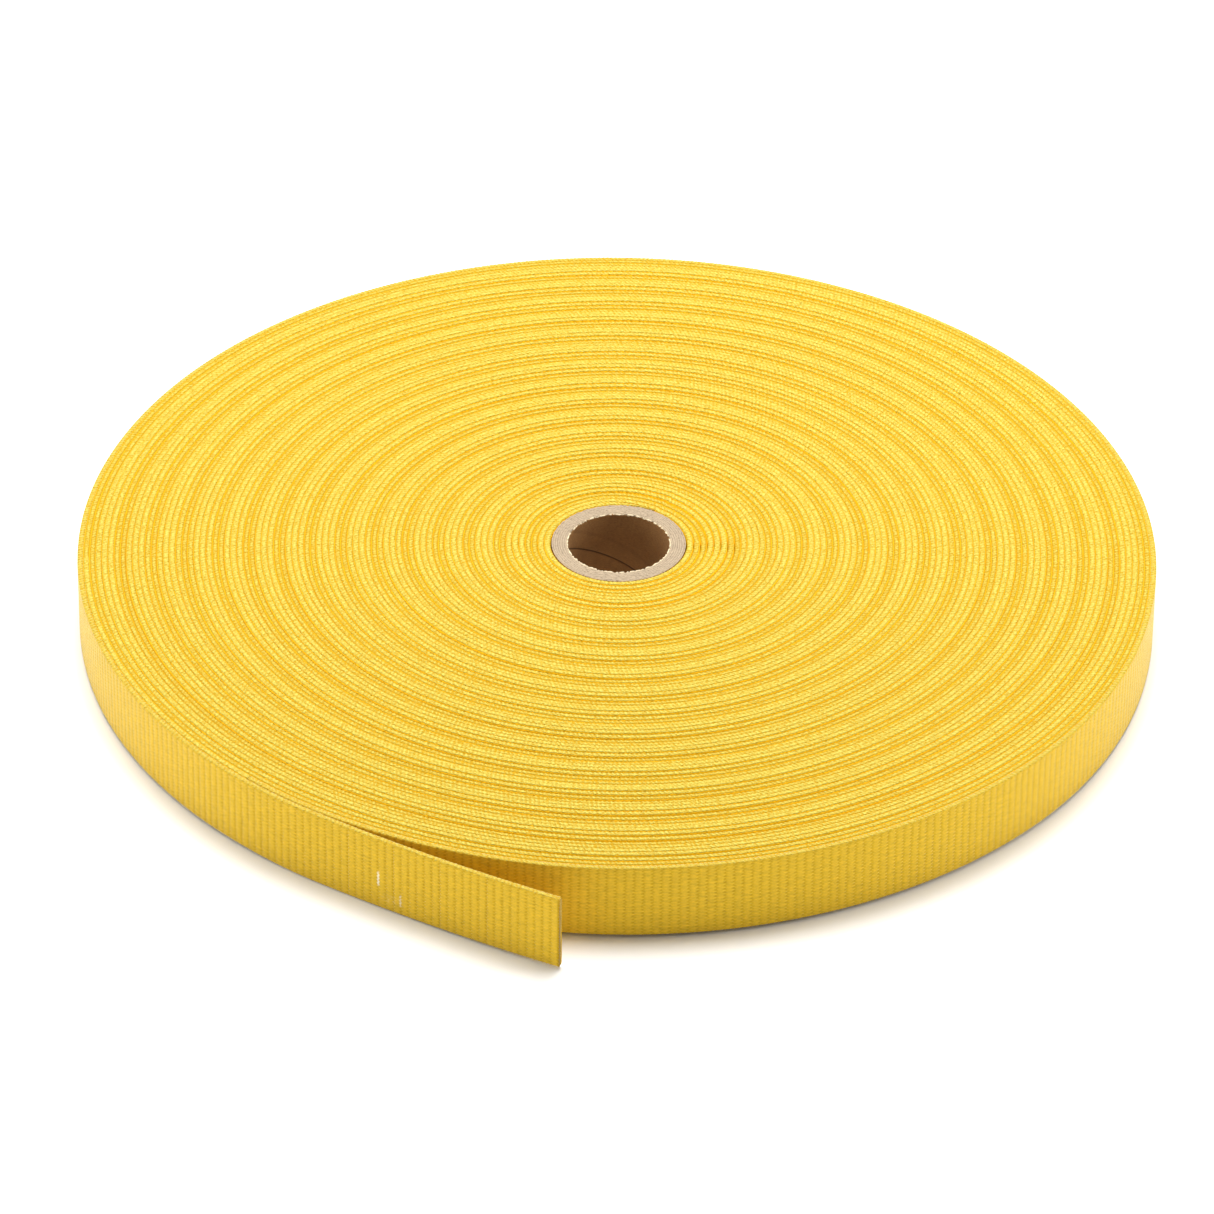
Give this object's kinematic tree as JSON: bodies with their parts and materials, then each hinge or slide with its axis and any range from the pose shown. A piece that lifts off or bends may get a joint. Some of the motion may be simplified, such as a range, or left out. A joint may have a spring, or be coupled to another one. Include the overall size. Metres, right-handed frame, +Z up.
{
  "type": "webbing roll",
  "caption": "Roll of flat ribbed woven webbing, wound tightly on a short paper core, with a loose cut tail that bends away from the roll.",
  "frame": {"origin": "centre of the core's lower mouth, level with the surface the roll rests on", "axes": "+Z up along the core's axis; the tail leaves the roll near -Y and points to +X"},
  "size_m": [0.3362, 0.3513, 0.0259],
  "materials": {
    "webbing": "ribbed weave, satin yarn",
    "core_paper": "matte",
    "core_liner_paper": "matte",
    "strip_paper": "matte"
  },
  "bodies": {
    "roll": {"core_liner": "core_liner_paper", "core_ply_1": "core_paper", "core_ply_2": "core_paper", "core_ply_3": "core_paper", "core_ply_4": "core_paper", "core_ply_5": "core_paper", "core_ply_6": "core_paper", "core_outer_ply": "core_paper", "start_strip": "strip_paper", "webbing_coil": "webbing"},
    "tail_1": {"tail_section_1": "webbing"},
    "tail_2": {"tail_section_2": "webbing"},
    "tail_3": {"tail_section_3": "webbing"},
    "tail_4": {"tail_section_4": "webbing"}
  },
  "joints": [
    {"name": "tail_bend_1", "type": "hinge", "parent": "roll", "child": "tail_1", "pos_m": [-0.07208, -0.15283, 0.0125], "axis": [0, 0, -1], "range_deg": [-5.2, 20], "stiffness_Nm_per_rad": 0.08},
    {"name": "tail_bend_2", "type": "hinge", "parent": "tail_1", "child": "tail_2", "pos_m": [-0.05823, -0.16082, 0.0125], "axis": [0, 0, -1], "range_deg": [-5.2, 20]},
    {"name": "tail_bend_3", "type": "hinge", "parent": "tail_2", "child": "tail_3", "pos_m": [-0.04417, -0.16846, 0.0125], "axis": [0, 0, -1], "range_deg": [-5.2, 20]},
    {"name": "tail_bend_4", "type": "hinge", "parent": "tail_3", "child": "tail_4", "pos_m": [-0.02992, -0.17573, 0.0125], "axis": [0, 0, -1], "range_deg": [-5.2, 20]}
  ],
  "couplings": [
    {"joint": "tail_bend_2", "follows": "tail_bend_1", "ratio": 1},
    {"joint": "tail_bend_3", "follows": "tail_bend_1", "ratio": 1},
    {"joint": "tail_bend_4", "follows": "tail_bend_1", "ratio": 1}
  ]
}
